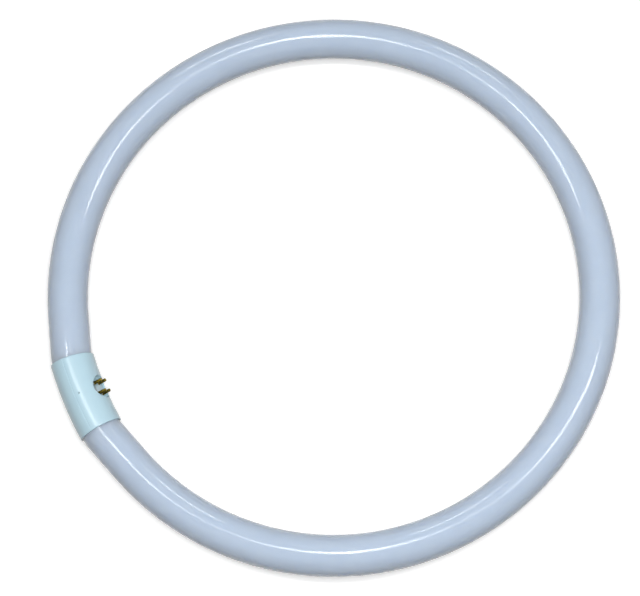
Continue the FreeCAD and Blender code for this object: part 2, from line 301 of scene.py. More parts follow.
@dataclass(frozen=True)
class MouldedPlastic:
    """Injection-moulded white plastic from a fine polished mould.

    The eye sees a pale even body with a broad soft sheen, a trace of orange peel and faint flow clouds,
    and painted shade where the mesh is marked for it: under the pocket's upper lip and in the pip recesses.
    """

    body: str = "#C1E0EC"
    cloud: str = "#B9D9E8"
    # Colour of the painted shade under the pocket's lip and in the pip recesses.
    painted_shade: str = "#23291F"
    cloud_size: float = 14.0
    # Size of the noise that speckles the painted shade.
    shade_speck_size: float = 1.6
    peel_size: float = 0.9
    peel_height: float = 0.006
    roughness: float = 0.2
    plastic_ior: float = 1.53

    def material(self) -> bpy.types.Material:
        """Build the moulded plastic."""
        material, tree, place = new_material("moulded_white_plastic")
        cloud = add_node(tree, "ShaderNodeTexNoise", {
            "Vector": place, "Scale": per_metre(self.cloud_size), "Detail": 4.0})
        tone = add_node(tree, "ShaderNodeMix", {
            0: cloud.outputs["Fac"], 6: linear(self.cloud), 7: linear(self.body)}, data_type="RGBA")
        # Painted shade: the marked places are mixed towards a dark colour, speckled by noise.
        shade_mark = add_node(tree, "ShaderNodeAttribute", {}, attribute_name=PAINTED_SHADE)
        shade_speck = add_node(tree, "ShaderNodeTexNoise", {
            "Vector": place, "Scale": per_metre(self.shade_speck_size), "Detail": 3.0})
        cover = add_node(tree, "ShaderNodeMath", {
            0: shade_mark.outputs["Fac"], 1: shade_speck.outputs["Fac"]}, operation="MULTIPLY")
        shaded = add_node(tree, "ShaderNodeMix", {
            0: cover.outputs[0], 6: tone.outputs[2], 7: linear(self.painted_shade)}, data_type="RGBA")
        peel = add_node(tree, "ShaderNodeTexNoise", {
            "Vector": place, "Scale": per_metre(self.peel_size), "Detail": 2.0})
        bump = add_node(tree, "ShaderNodeBump", {
            "Height": peel.outputs["Fac"], "Distance": self.peel_height * METRE, "Strength": 1.0})
        shader = add_node(tree, "ShaderNodeBsdfPrincipled", {
            "Base Color": shaded.outputs[2], "Roughness": self.roughness, "IOR": self.plastic_ior,
            "Normal": bump.outputs["Normal"]})
        end_material(tree, shader)
        return material


@dataclass(frozen=True)
class TarnishedBrass:
    """Turned brass that has gone dull and olive brown in the air.

    The eye sees a dark metal with a few golden glints where the tarnish is thin.
    """

    metal: str = "#A8913B"
    tarnish: str = "#595020"
    patch_size: float = 1.1
    pit_size: float = 0.35
    pit_depth: float = 0.03
    bright_roughness: float = 0.28
    dull_roughness: float = 0.6

    def material(self) -> bpy.types.Material:
        """Build the tarnished brass."""
        material, tree, place = new_material("tarnished_brass")
        patch = add_node(tree, "ShaderNodeTexNoise", {
            "Vector": place, "Scale": per_metre(self.patch_size), "Detail": 4.0})
        spread = add_node(tree, "ShaderNodeMapRange", {
            "Value": patch.outputs["Fac"], "From Min": 0.46, "From Max": 0.7})
        tone = add_node(tree, "ShaderNodeMix", {
            0: spread.outputs["Result"], 6: linear(self.tarnish), 7: linear(self.metal)}, data_type="RGBA")
        dull = add_node(tree, "ShaderNodeMapRange", {
            "Value": spread.outputs["Result"], "To Min": self.dull_roughness, "To Max": self.bright_roughness})
        pit = add_node(tree, "ShaderNodeTexNoise", {
            "Vector": place, "Scale": per_metre(self.pit_size), "Detail": 2.0})
        bump = add_node(tree, "ShaderNodeBump", {
            "Height": pit.outputs["Fac"], "Distance": self.pit_depth * METRE, "Strength": 1.0})
        shader = add_node(tree, "ShaderNodeBsdfPrincipled", {
            "Base Color": tone.outputs[2], "Metallic": 1.0, "Roughness": dull.outputs["Result"],
            "Normal": bump.outputs["Normal"]})
        end_material(tree, shader)
        return material


@dataclass(frozen=True)
class DrawnWire:
    """Nickel-plated wire, drawn through a die.

    The eye sees a grey metal with fine lines along it.
    """

    metal: str = "#B9B3A6"
    dull_metal: str = "#8F897C"
    line_size: float = 0.2
    roughness: float = 0.32

    def material(self) -> bpy.types.Material:
        """Build the drawn wire."""
        material, tree, place = new_material("drawn_nickel_wire")
        line = add_node(tree, "ShaderNodeTexNoise", {
            "Vector": place, "Scale": per_metre(self.line_size), "Detail": 3.0})
        tone = add_node(tree, "ShaderNodeMix", {
            0: line.outputs["Fac"], 6: linear(self.dull_metal), 7: linear(self.metal)}, data_type="RGBA")
        shader = add_node(tree, "ShaderNodeBsdfPrincipled", {
            "Base Color": tone.outputs[2], "Metallic": 1.0, "Roughness": self.roughness})
        end_material(tree, shader)
        return material


@dataclass(frozen=True)
class BraidedSleeve:
    """Glass-fibre yarn braided into a sleeve.

    The eye sees an off-white cloth with small diamonds from the two ways of the yarn.
    """

    yarn: str = "#E4E0D2"
    gap: str = "#B7B09C"
    yarn_width: float = 0.35
    yarn_height: float = 0.08
    roughness: float = 0.85

    def material(self) -> bpy.types.Material:
        """Build the braid from two wave patterns that cross."""
        material, tree, place = new_material("braided_glass_fibre")
        waves = []
        for turn in (math.pi / 4, -math.pi / 4):
            turned = add_node(tree, "ShaderNodeMapping", {"Vector": place, "Rotation": (0.0, 0.0, turn)})
            waves.append(add_node(tree, "ShaderNodeTexWave", {
                "Vector": turned.outputs["Vector"], "Scale": per_metre(self.yarn_width) / FULL_TURN}))
        cross = add_node(tree, "ShaderNodeMath", {
            0: waves[0].outputs["Fac"], 1: waves[1].outputs["Fac"]}, operation="MULTIPLY")
        tone = add_node(tree, "ShaderNodeMix", {
            0: cross.outputs[0], 6: linear(self.gap), 7: linear(self.yarn)}, data_type="RGBA")
        bump = add_node(tree, "ShaderNodeBump", {
            "Height": cross.outputs[0], "Distance": self.yarn_height * METRE, "Strength": 1.0})
        shader = add_node(tree, "ShaderNodeBsdfPrincipled", {
            "Base Color": tone.outputs[2], "Roughness": self.roughness, "Normal": bump.outputs["Normal"]})
        end_material(tree, shader)
        return material


@dataclass(frozen=True)
class LampLine:
    """Centre line of the tube and of its cap, which lies in the plane of the ring.

    Angles are measured from the middle of the cap: 0 there, and half a turn at the far side of the ring.
    """

    ring_outer_diameter: float = 406.0
    tube_radius: float = 14.3
    straight_start: float = math.radians(18.0)
    end_bend_radius: float = 28.0
    end_bend_inset: float = 0.5
    end_gap: float = 24.0
    stem_depth: float = 8.0
    cap_length: float = 54.0
    cap_bend: float = math.radians(12.0)

    @property
    def ring_radius(self) -> float:
        """Radius of the ring's own centre line."""
        return self.ring_outer_diameter / 2 - self.tube_radius

    @property
    def cap_arc_radius(self) -> float:
        """Radius of the arc that the cap's axis follows from rim to rim."""
        return self.cap_length / 2 / math.sin(self.cap_bend / 2)

    @property
    def inset_angle(self) -> float:
        """Angle at which the end bend meets the cap's arc."""
        return self.cap_bend / 2 - self.end_bend_inset / self.cap_arc_radius

    @property
    def stem_angle(self) -> float:
        """Angle of the floor of the stem's recess in a glass end."""
        return math.asin((self.end_gap / 2 + self.stem_depth) / self.cap_arc_radius)

    @property
    def cap_arc_centre(self) -> np.ndarray:
        """Centre of the cap's arc, set so that the straight run leaves the ring's circle with no corner."""
        reach = (self.cap_arc_radius - self.end_bend_radius) * math.cos(self.straight_start - self.inset_angle)
        gap = self.ring_radius - self.end_bend_radius - reach
        return np.array([-gap / math.cos(self.straight_start), 0.0, 0.0])

    @property
    def cap_middle(self) -> np.ndarray:
        """Middle of the cap's axis."""
        return self.cap_arc_centre + outward(0.0) * self.cap_arc_radius

    @property
    def stem_floor(self) -> np.ndarray:
        """Centre of the stem's floor at the +Y end."""
        return self.cap_arc_centre + outward(self.stem_angle) * self.cap_arc_radius

    def half_run(self, gap: float) -> tuple[np.ndarray, np.ndarray]:
        """Carry the line from the stem's floor at the +Y end to the far side of the ring.

        The line is the cap's arc, the end bend, a straight run and then the ring's own circle. The straight
        run has five times as many points to its length as the ring, for the dents.

        Args:
            gap: Largest distance between two points on the ring.

        Returns:
            The points and the angle of the line at each.
        """
        bend_centre = self.cap_arc_centre + outward(self.inset_angle) * (self.cap_arc_radius - self.end_bend_radius)
        inside = steps(self.stem_angle, self.inset_angle, 5)[:-1]
        bend = steps(self.inset_angle, self.straight_start, 9)
        ring = steps(self.straight_start, math.pi, math.ceil(math.pi * self.ring_radius / gap))
        enter = bend_centre + outward(self.straight_start) * self.end_bend_radius
        leave = outward(self.straight_start) * self.ring_radius
        share = steps(0.0, 1.0, math.ceil(5 * np.linalg.norm(leave - enter) / gap))[1:-1, None]
        points = np.concatenate([
            self.cap_arc_centre + outward(inside) * self.cap_arc_radius,
            bend_centre + outward(bend) * self.end_bend_radius,
            enter + (leave - enter) * share,
            outward(ring) * self.ring_radius])
        angles = np.concatenate([inside, bend, np.full(len(share), self.straight_start), ring])
        return points, angles


@dataclass(frozen=True)
class Dent:
    """Shallow rise or hollow in the glass from hot working near an end.

    Attributes:
        along: Distance from the middle of the cap along the tube.
        turn: Angle round the tube from the outside of the ring, upwards.
        height: Rise of the glass, less than zero for a hollow.
        length: Reach along the tube.
        width: Reach round the tube.
    """

    along: float
    turn: float
    height: float
    length: float
    width: float


@dataclass(frozen=True)
class GlassTube:
    """Ring of glass with two sealed ends inside the cap."""

    line: LampLine
    finish: CoatedGlass = CoatedGlass()
    point_gap: float = 3.0
    columns: int = 144
    surface_ease: float = 0.07
    seal_rim_width: float = 6.0
    stem_taper: float = 2.0
    exhaust_tip_radius: float = 1.8
    exhaust_tip_length: float = 6.0
    dents: tuple[Dent, ...] = (
        Dent(38.8, math.radians(85.0), 0.31, 5.1, 2.0),
        Dent(28.1, math.radians(78.4), -0.07, 2.6, 2.7),
        Dent(32.7, math.radians(79.6), -0.15, 1.5, 1.3))

    @property
    def radius(self) -> float:
        """Radius of the glass, eased in so that its smooth round stays inside the box of the faceted model."""
        return self.line.tube_radius - self.surface_ease

    def end_profile(self) -> tuple[np.ndarray, np.ndarray]:
        """Outline of a sealed end, turned about the tube's line.

        It runs from the tip of the exhaust tube down to the stem's floor, up the tapered recess, over the
        half-round rim and back to the level of the floor.

        Returns:
            Heights above the stem's floor and radii.
        """
        tip = steps(0.0, QUARTER, 7)
        dome = self.exhaust_tip_length - self.exhaust_tip_radius
        rim_radius = self.seal_rim_width / 2
        shoulder = self.line.stem_depth - rim_radius
        mouth = self.radius - self.seal_rim_width
        rim = steps(math.pi, 0.0, 13)
        heights = [dome + self.exhaust_tip_radius * np.cos(tip), [0.0, 0.0],
                   shoulder + rim_radius * np.sin(rim)]
        radii = [self.exhaust_tip_radius * np.sin(tip), [self.exhaust_tip_radius, mouth - self.stem_taper],
                 mouth + rim_radius + rim_radius * np.cos(rim)]
        return np.concatenate(heights), np.concatenate(radii)

    def rise(self, along: np.ndarray, turn: np.ndarray) -> np.ndarray:
        """Sum of the dents: each is its height times a bell curve along the tube and another round it."""
        total = np.zeros(np.broadcast(along, turn).shape)
        for dent in self.dents:
            round_way = (turn - dent.turn) * self.radius
            bell = ((along - dent.along) / dent.length) ** 2 + (round_way / dent.width) ** 2
            total += dent.height * np.exp(-bell / 2)
        return total

    def surface(self) -> Surface:
        """Circle carried along the line, with the two turned ends.

        Each row is a circle about a point of the line, in the plane of the outward direction and +Z. The -Y
        half is the mirror image of the other, without the dents.
        """
        points, angles = self.line.half_run(self.point_gap)
        heights, radii = self.end_profile()
        ends = self.line.stem_floor + onward(self.line.stem_angle) * heights[:, None]
        centres = np.concatenate([ends, points])
        turns = np.concatenate([np.full(len(heights), self.line.stem_angle), angles])
        rounds = np.concatenate([radii, np.full(len(points), self.radius)])
        first_gap = np.linalg.norm(points[0] - self.line.cap_middle)
        lengths = first_gap + np.cumsum(np.linalg.norm(np.diff(points, axis=0, prepend=points[:1]), axis=1))
        along = np.concatenate([np.zeros(len(heights)), lengths])
        around = steps(0.0, FULL_TURN, self.columns + 1)[:-1]
        upper = rounds[:, None] + self.rise(along[:, None], around[None, :])
        lower = np.repeat(rounds[::-1, None], self.columns, axis=1)
        radius = np.concatenate([upper, lower[1:]])[..., None]
        centres = np.concatenate([centres, centres[-2::-1] * [1.0, -1.0, 1.0]])[:, None, :]
        aside = outward(np.concatenate([turns, -turns[-2::-1]]))[:, None, :]
        wheel = around[None, :, None]
        return Surface(centres + radius * (np.cos(wheel) * aside + np.sin(wheel) * UP))

    def build(self) -> None:
        """Make the glass and dress it."""
        piece = make_piece("glass_tube_coated", [self.surface()])
        smooth(piece, math.radians(50.0))
        install(piece, "glass_tube", self.finish.material())


@dataclass(frozen=True)
class CapFrame:
    """Coordinates of the cap: along its bent axis, and across and along the pins in each section."""

    line: LampLine
    pin_tilt: float = math.radians(20.0)

    @property
    def pin_axis(self) -> np.ndarray:
        """Direction in which the pins stand."""
        return np.array([math.cos(self.pin_tilt), 0.0, math.sin(self.pin_tilt)])

    @property
    def across(self) -> np.ndarray:
        """Direction across the pins, at a right angle to the tube."""
        return np.cross(self.pin_axis, ALONG)

    def section_point(self, along: np.ndarray, across: np.ndarray, height: np.ndarray) -> np.ndarray:
        """Points of the section at a distance along the bent axis, across the pins and along them."""
        angle = np.asarray(along, float) / self.line.cap_arc_radius
        out = outward(angle)
        lean, stand = math.sin(self.pin_tilt), math.cos(self.pin_tilt)
        across = np.asarray(across, float)[..., None]
        height = np.asarray(height, float)[..., None]
        middle = self.line.cap_arc_centre + out * self.line.cap_arc_radius
        return middle + across * (out * lean + UP * stand) + height * (UP * lean - out * stand)

    def round_point(self, along: np.ndarray, turn: np.ndarray, radius: np.ndarray) -> np.ndarray:
        """Points at a radius from the bent axis, at a turn from across the pins towards them."""
        return self.section_point(along, radius * np.cos(turn), radius * np.sin(turn))

    def straight_point(self, along: np.ndarray, across: np.ndarray, height: np.ndarray) -> np.ndarray:
        """Points in straight coordinates about the middle of the cap."""
        along, across, height = (np.asarray(value, float)[..., None] for value in (along, across, height))
        return self.line.cap_middle + ALONG * along + self.across * across + self.pin_axis * height

    def on_wall(self, along: np.ndarray, across: np.ndarray, radius: float) -> tuple[np.ndarray, np.ndarray]:
        """Find where lines along the pins meet a round wall about the bent axis, by repeated correction.

        Args:
            along: Straight distances along the tube.
            across: Straight distances across the pins.
            radius: Radius of the wall.

        Returns:
            Distances along the bent axis and turns about it.
        """
        bent = along.copy()
        turn = np.arccos(across / radius)
        for _ in range(8):
            offset = self.round_point(bent, turn, radius) - self.line.cap_middle
            bent = bent + (along - offset @ ALONG)
            turn = turn + (offset @ self.across - across) / (radius * np.sin(turn))
        return bent, turn


@dataclass(frozen=True)
class CapSizes:
    """Sizes that the two halves of the cap share."""

    tube_radius: float
    wall: float = 0.9
    clearance: float = 0.3
    rim_round: float = 0.35
    seam_round: float = 0.16
    rib_width: float = 1.6
    rib_inset: float = 8.0
    rib_seam_gap: float = 3.0
    rib_clearance: float = 0.05
    lap_height: float = 1.2
    lap_thickness: float = 0.4
    lap_clearance: float = 0.05
    snap_height: float = 3.6
    snap_radius: float = 0.65
    snap_recess: float = 0.25
    snap_clearance: float = 0.1
    tab_width: float = 9.0
    tab_thickness: float = 1.0
    tab_margin: float = 1.8
    tab_root: float = 5.0

    @property
    def bore(self) -> float:
        """Inner radius of the cap."""
        return self.tube_radius + self.clearance

    @property
    def outer(self) -> float:
        """Outer radius of the cap."""
        return self.bore + self.wall

    @property
    def lap(self) -> float:
        """Outer radius of the tongue along the seam."""
        return self.bore + self.lap_thickness

    @property
    def tab(self) -> float:
        """Outer radius of the snap tabs."""
        return self.bore - self.snap_clearance


@dataclass(frozen=True)
class Cap:
    """Two moulded halves round the ends of the tube, one of them with the pocket for the pins."""

    place: CapFrame
    sizes: CapSizes
    finish: MouldedPlastic = MouldedPlastic()
    pocket_radius: float = 8.6
    pocket_depth: float = 3.7
    pocket_wall: float = 1.2
    pocket_floor: float = 2.0
    lip_round: float = 0.35
    floor_round: float = 0.3
    pin_hole_radius: float = 1.05
    pin_along: float = 3.96
    pin_across: float = 3.175
    # Painted shade in the pocket: none up to a distance across the pins, then growing over a width to full under the
    # upper lip.
    shade_start: float = 2.6
    shade_width: float = 2.4
    # Strength of the painted shade on the recessed snap pip ends.
    pip_shade: float = 0.7
    side_columns: int = 44
    wall_rows: int = 20

    @property
    def half_length(self) -> float:
        """Half of the cap's length along its bent axis."""
        return self.place.line.cap_arc_radius * self.place.line.cap_bend / 2

    @property
    def floor_top(self) -> float:
        """Height of the pocket's floor along the pins."""
        return self.sizes.outer - self.pocket_depth

    def bar(self, turns: np.ndarray, inner: np.ndarray, outer: np.ndarray, low: float, high: float) -> Surface:
        """Closed bar round the cap: a rectangle carried through a row of turns and collapsed at both ends.

        Args:
            turns: Turns about the cap's axis.
            inner: Inner radius at each turn.
            outer: Outer radius at each turn.
            low: Start of the bar along the cap.
            high: End of the bar along the cap.

        Returns:
            The closed surface.
        """
        turns = np.concatenate([turns[:1], turns, turns[-1:]])[:, None]
        middle = (np.asarray(inner) + np.asarray(outer)) / 2
        inner = np.concatenate([middle[:1], inner, middle[-1:]])[:, None]
        outer = np.concatenate([middle[:1], outer, middle[-1:]])[:, None]
        radius = np.hstack([inner, outer, outer, inner])
        along = np.repeat([[low, low, high, high]], len(turns), axis=0)
        along[[0, -1]] = (low + high) / 2
        return Surface(self.place.round_point(along, np.repeat(turns, 4, axis=1), radius))

    def rod(self, side: int, inner: float, outer: float, radius: float) -> Surface:
        """Closed rod across the cap at the height of the snap pips."""
        around = steps(0.0, FULL_TURN, 25)[None, :-1]
        reach = np.array([inner, inner, outer, outer])[:, None] * side
        size = np.array([0.0, radius, radius, 0.0])[:, None]
        return Surface(self.place.straight_point(
            size * np.cos(around), reach + 0 * around, self.sizes.snap_height + size * np.sin(around)))

    def upright(self, along: float, across: float, low: float, high: float, radius: float) -> Surface:
        """Closed rod along the pins."""
        around = steps(0.0, FULL_TURN, 33)[None, :-1]
        height = np.array([low, low, high, high])[:, None]
        size = np.array([0.0, radius, radius, 0.0])[:, None]
        return Surface(self.place.straight_point(
            along + size * np.cos(around), across + size * np.sin(around), height + 0 * around))

    def snap_reach(self, radius: float) -> float:
        """Distance across the cap to a radius at the height of the snap pips."""
        return math.sqrt(radius ** 2 - self.sizes.snap_height ** 2)

    def ribs(self, half: int) -> list[Surface]:
        """Ribs that bear on the glass inside one half, +1 for the pin half and -1 for the other."""
        foot = math.asin(self.sizes.rib_seam_gap / self.sizes.bore)
        turns = half * steps(foot, math.pi - foot, 49)
        inner = np.full(len(turns), self.sizes.tube_radius + self.sizes.rib_clearance)
        outer = np.full(len(turns), self.sizes.bore + self.sizes.wall / 2)
        high = self.half_length - self.sizes.rib_inset
        low = high - self.sizes.rib_width
        return [self.bar(turns, inner, outer, low, high), self.bar(turns, inner, outer, -high, -low)]

    def grooves(self) -> list[Surface]:
        """Room for the tongues of the cover half, cut along both seams of the pin half."""
        over = 1.0
        top = (self.sizes.lap_height + self.sizes.lap_clearance) / self.sizes.bore
        turns = steps(-over / self.sizes.bore, top, 4)
        inner = np.full(len(turns), self.sizes.bore - over)
        outer = np.full(len(turns), self.sizes.lap + self.sizes.lap_clearance)
        along = steps(-self.half_length - over, self.half_length + over, 41)
        return [self.long_bar(turn_row, inner, outer, along) for turn_row in (turns, math.pi - turns)]

    def long_bar(self, turns: np.ndarray, inner: np.ndarray, outer: np.ndarray, along: np.ndarray) -> Surface:
        """Closed bar along the cap: a section carried along the bent axis and collapsed at both ends.

        Args:
            turns: Turns of the section's corners about the axis.
            inner: Inner radius at each turn.
            outer: Outer radius at each turn.
            along: Distances along the bent axis.

        Returns:
            The closed surface.
        """
        loop_turns = np.concatenate([turns, turns[::-1]])
        loop_radii = np.concatenate([inner, outer[::-1]])
        rows = np.concatenate([along[:1], along, along[-1:]])[:, None]
        turn = np.repeat(loop_turns[None, :], len(rows), axis=0)
        radius = np.repeat(loop_radii[None, :], len(rows), axis=0)
        turn[[0, -1]] = loop_turns.mean()
        radius[[0, -1]] = loop_radii.mean()
        return Surface(self.place.round_point(rows + 0 * turn, turn, radius))

    def edge_directions(self) -> tuple[np.ndarray, np.ndarray, np.ndarray]:
        """Spread directions about the pocket so that one meets each corner of the half.

        Returns:
            The directions, and the distances along and round the cap at which each meets its edge.
        """
        half_round = self.sizes.outer * QUARTER
        corner = math.atan2(half_round, self.half_length)
        corners = [-corner, corner, math.pi - corner, math.pi + corner, FULL_TURN - corner]
        sides = [np.linspace(a, b, self.side_columns, endpoint=False) for a, b in zip(corners, corners[1:])]
        direction = np.concatenate(sides)
        cosine, sine = np.cos(direction), np.sin(direction)
        reach = np.minimum(self.half_length / np.maximum(np.abs(cosine), 1e-9),
                           half_round / np.maximum(np.abs(sine), 1e-9))
        return direction, reach * cosine, reach * sine

    def pin_half_surface(self) -> Surface:
        """Closed surface of the pin half, as rings about the axis of the pocket.

        From the middle of the pocket's floor the rings run up the pocket's wall, over its rounded lip and
        out over the outside to the edges of the half. There they turn in and run back along the bore to
        the boss under the pocket and the middle of its underside. Between the lip and the edges the rings
        are a straight blend of the two outlines, in distance along the cap and turn about it.
        """
        sizes = self.sizes
        direction, edge_along, edge_round = self.edge_directions()
        cosine, sine = np.cos(direction)[None, :], np.sin(direction)[None, :]
        on_rim = np.isclose(np.abs(edge_along), self.half_length)
        corner_round = np.where(on_rim, sizes.rim_round, sizes.seam_round)
        lip_along, lip_turn = self.place.on_wall(
            self.pocket_radius * cosine[0], self.pocket_radius * sine[0], sizes.outer)
        lip = self.place.round_point(lip_along, lip_turn, sizes.outer)
        lip_height = (lip - self.place.line.cap_middle) @ self.place.pin_axis

        floor_size = steps(0.0, self.pocket_radius - self.floor_round, 15)[:, None]
        floor = self.place.straight_point(floor_size * cosine, floor_size * sine, self.floor_top + 0 * cosine)
        sweep = steps(0.0, QUARTER, 5)[1:, None]
        foot_size = self.pocket_radius - self.floor_round * (1 - np.sin(sweep))
        foot = self.place.straight_point(
            foot_size * cosine, foot_size * sine, self.floor_top + self.floor_round * (1 - np.cos(sweep)) + 0 * cosine)
        wall_low = self.floor_top + self.floor_round
        share = steps(0.0, 1.0, 5)[1:, None]
        wall_height = wall_low + share * (lip_height[None, :] - self.lip_round - wall_low)
        wall = self.place.straight_point(
            self.pocket_radius * cosine + 0 * wall_height, self.pocket_radius * sine + 0 * wall_height, wall_height)

        out_size = self.pocket_radius + self.lip_round
        out_along, out_turn = self.place.on_wall(out_size * cosine[0], out_size * sine[0], sizes.outer)
        bend = steps(0.0, 1.0, 6)[1:-1, None, None]
        out_point = self.place.round_point(out_along, out_turn, sizes.outer)
        lip_rows = wall[-1] * (1 - bend) ** 2 + lip * 2 * bend * (1 - bend) + out_point * bend ** 2

        inset = np.maximum(np.abs(edge_along) - corner_round, 0) * np.sign(edge_along)
        near_along = np.where(on_rim, inset, edge_along)
        near_turn = QUARTER - np.where(
            on_rim, edge_round, np.sign(edge_round) * (np.abs(edge_round) - corner_round)) / sizes.outer
        share = steps(0.0, 1.0, self.wall_rows)[:, None]
        outside = self.place.round_point(
            out_along + (near_along - out_along) * share, out_turn + (near_turn - out_turn) * share,
            np.full((self.wall_rows, len(direction)), sizes.outer))

        edge_turn = QUARTER - edge_round / sizes.outer
        sweep = steps(0.0, QUARTER, 5)[1:, None]
        edge = self.place.round_point(
            near_along + (edge_along - near_along) * np.sin(sweep),
            near_turn + (edge_turn - near_turn) * np.sin(sweep),
            sizes.outer - corner_round * (1 - np.cos(sweep)))

        boss_size = self.pocket_radius + self.pocket_wall
        boss_along, boss_turn = self.place.on_wall(boss_size * cosine[0], boss_size * sine[0], sizes.bore)
        share = steps(0.0, 1.0, self.wall_rows)[:, None]
        inside = self.place.round_point(
            edge_along + (boss_along - edge_along) * share, edge_turn + (boss_turn - edge_turn) * share,
            np.full((self.wall_rows, len(direction)), sizes.bore))
        boss_top = (inside[-1] - self.place.line.cap_middle) @ self.place.pin_axis
        base = self.floor_top - self.pocket_floor
        share = steps(0.0, 1.0, 3)[1:, None]
        boss_height = boss_top[None, :] + share * (base - boss_top[None, :])
        boss = self.place.straight_point(
            boss_size * cosine + 0 * boss_height, boss_size * sine + 0 * boss_height, boss_height)
        under_size = steps(boss_size, 0.0, 6)[1:, None]
        under = self.place.straight_point(under_size * cosine, under_size * sine, base + 0 * cosine)
        return Surface(np.concatenate([floor, foot, wall, lip_rows, outside, edge, inside, boss, under]))

    def build_pin_half(self) -> bpy.types.Object:
        """Make the half with the pocket, its holes, grooves and ribs."""
        piece = make_piece("cap_pin_half_moulded", [self.pin_half_surface()])
        combine(piece, self.ribs(1), Joining.ADD)
        over = 1.0
        base = self.floor_top - self.pocket_floor
        holes = [
            self.upright(side * self.pin_along, row * self.pin_across, base - over, self.floor_top + over,
                         self.pin_hole_radius)
            for side in (1, -1) for row in (1, -1)]
        inner, outer = self.snap_reach(self.sizes.bore - over), self.snap_reach(self.sizes.outer + over)
        snap_hole = self.sizes.snap_radius + self.sizes.snap_clearance
        holes += [self.rod(side, inner, outer, snap_hole) for side in (1, -1)]
        combine(piece, holes, Joining.CUT)
        combine(piece, self.grooves(), Joining.CUT)
        return piece

    def paint_shade(self, piece: bpy.types.Object) -> None:
        """Mark painted shade in the pocket and on the recessed ends of the snap pips.

        In the pocket the painted shade is full under the upper lip, which shades the floor there, and there is
        none below the upper row of pins.

        Args:
            piece: Either half of the cap.
        """
        places = np.empty(3 * len(piece.data.vertices))
        piece.data.vertices.foreach_get("co", places)
        offset = places.reshape(-1, 3) / METRE - self.place.line.cap_middle
        along, across, height = offset @ ALONG, offset @ self.place.across, offset @ self.place.pin_axis
        inside = np.hypot(along, across) < self.pocket_radius + self.lip_round / 2
        in_pocket = inside & (height > self.floor_top - self.floor_round)
        # The recessed ends of the snap pips get a lighter painted shade, for the dark dot of the recess.
        pip_end = self.snap_reach(self.sizes.outer) - self.sizes.snap_recess
        near_pip = np.hypot(along, height - self.sizes.snap_height) < self.sizes.snap_radius * 1.01
        on_pip = near_pip & (np.abs(across) > pip_end * 0.99)
        # Painted shade: full under the pocket's upper lip, none below the upper row of pins, and part on the pip ends.
        share = np.clip((across - self.shade_start) / self.shade_width, 0, 1) * in_pocket + self.pip_shade * on_pip
        piece.data.attributes.new(PAINTED_SHADE, "FLOAT", "POINT").data.foreach_set("value", share)

    def cover_rows(self) -> tuple[np.ndarray, np.ndarray, np.ndarray]:
        """Outline of the cover half's section, from the tongue on one seam to the tongue on the other.

        Returns:
            Turns about the axis, and the outer and inner radius at each.
        """
        sizes = self.sizes
        sweep = steps(0.0, QUARTER, 5)
        rounding = sizes.seam_round / sizes.outer
        tongue = sizes.lap_height / sizes.lap
        core = (sizes.bore + sizes.lap) / 2
        turns = np.concatenate([[tongue, tongue, 0.0], -rounding * (1 - np.cos(sweep))])
        outer = np.concatenate([
            [core, sizes.lap, sizes.lap], sizes.outer - sizes.seam_round * (1 - np.sin(sweep))])
        inner = np.concatenate([[core], np.full(len(turns) - 1, sizes.bore)])
        body = steps(-rounding, -math.pi + rounding, 73)[1:-1]
        plain = np.ones(len(body))
        return (np.concatenate([turns, body, -math.pi - turns[::-1]]),
                np.concatenate([outer, plain * sizes.outer, outer[::-1]]),
                np.concatenate([inner, plain * sizes.bore, inner[::-1]]))

    def cover_half_surface(self) -> Surface:
        """Closed surface of the cover half: a loop along the cap, carried round it from seam to seam.

        The loop runs along the outside, round the rim, back along the bore and round the other rim.
        """
        turns, outer, inner = self.cover_rows()
        sizes = self.sizes
        sweep = steps(0.0, QUARTER, 5)[1:]
        straight = steps(sizes.rim_round - self.half_length, self.half_length - sizes.rim_round, 61)
        rim_along = self.half_length - sizes.rim_round * (1 - np.sin(sweep))
        rim_drop = sizes.rim_round * (1 - np.cos(sweep))
        back = steps(self.half_length, -self.half_length, 61)
        along = np.concatenate([straight, rim_along, back, -rim_along[::-1]])[None, :]
        drop = np.concatenate([0 * straight, rim_drop, 0 * back, rim_drop[::-1]])[None, :]
        is_bore = np.concatenate([0 * straight, 0 * rim_drop, 0 * back + 1, 0 * rim_drop])[None, :]
        outside = np.maximum(outer[:, None] - drop, inner[:, None])
        radius = outside * (1 - is_bore) + inner[:, None] * is_bore
        return Surface(self.place.round_point(along + 0 * radius, turns[:, None] + 0 * radius, radius))

    def tab_surface(self, side: int) -> Surface:
        """Snap tab: a band inside the cover half's wall that steps in above the seam and reaches up."""
        sizes = self.sizes
        foot = -math.asin(sizes.tab_root / sizes.bore)
        lap = sizes.lap_height / sizes.tab
        top = math.asin((sizes.snap_height + sizes.tab_margin) / sizes.tab)
        low, high = steps(foot, lap / 2, 7), steps(lap / 2, top, 7)
        turns = np.concatenate([low, high])
        outer = np.concatenate([0 * low + sizes.bore + sizes.lap_thickness / 2, 0 * high + sizes.tab])
        inner = np.full(len(turns), sizes.tab - sizes.tab_thickness)
        turns = turns if side > 0 else math.pi - turns
        return self.bar(turns, inner, outer, -sizes.tab_width / 2, sizes.tab_width / 2)

    def build_cover_half(self) -> bpy.types.Object:
        """Make the plain half with its ribs, snap tabs and pips."""
        sizes = self.sizes
        piece = make_piece("cap_cover_half_moulded", [self.cover_half_surface()])
        combine(piece, self.ribs(-1), Joining.ADD)
        combine(piece, [self.tab_surface(side) for side in (1, -1)], Joining.ADD)
        inner = self.snap_reach(sizes.tab - sizes.tab_thickness / 2)
        outer = self.snap_reach(sizes.outer) - sizes.snap_recess
        combine(piece, [self.rod(side, inner, outer, sizes.snap_radius) for side in (1, -1)], Joining.ADD)
        return piece

